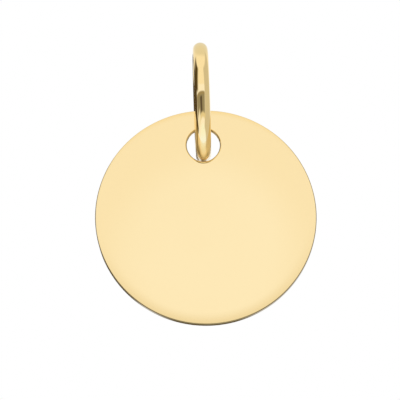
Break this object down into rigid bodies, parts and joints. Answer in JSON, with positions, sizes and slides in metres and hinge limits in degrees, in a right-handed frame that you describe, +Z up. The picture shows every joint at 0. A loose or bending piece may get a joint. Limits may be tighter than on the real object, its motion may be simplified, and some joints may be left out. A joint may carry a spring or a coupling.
{
  "type": "engravable disc pendant",
  "caption": "Flat round polished gold disc with a hole near its rim, hung on a round-wire jump ring set square to it, plain for engraving.",
  "frame": {"origin": "the inside of the jump ring's top, where the necklace chain lies", "axes": "+Z up, the front face of the disc towards -Y, +X to the right seen from the front, the jump ring in the YZ plane"},
  "size_m": [0.015, 0.0082, 0.0197],
  "materials": {
    "ring_gold": "mirror polished yellow gold wire",
    "disc_gold": "mirror polished yellow gold sheet"
  },
  "bodies": {
    "ring": {"jump_ring": "ring_gold"},
    "disc": {"engraving_disc": "disc_gold"}
  },
  "joints": [
    {"name": "disc_swing", "type": "hinge", "parent": "ring", "child": "disc", "pos_m": [0, 0, -0.00609], "axis": [0, 1, 0], "range_deg": [-90, 90]}
  ]
}
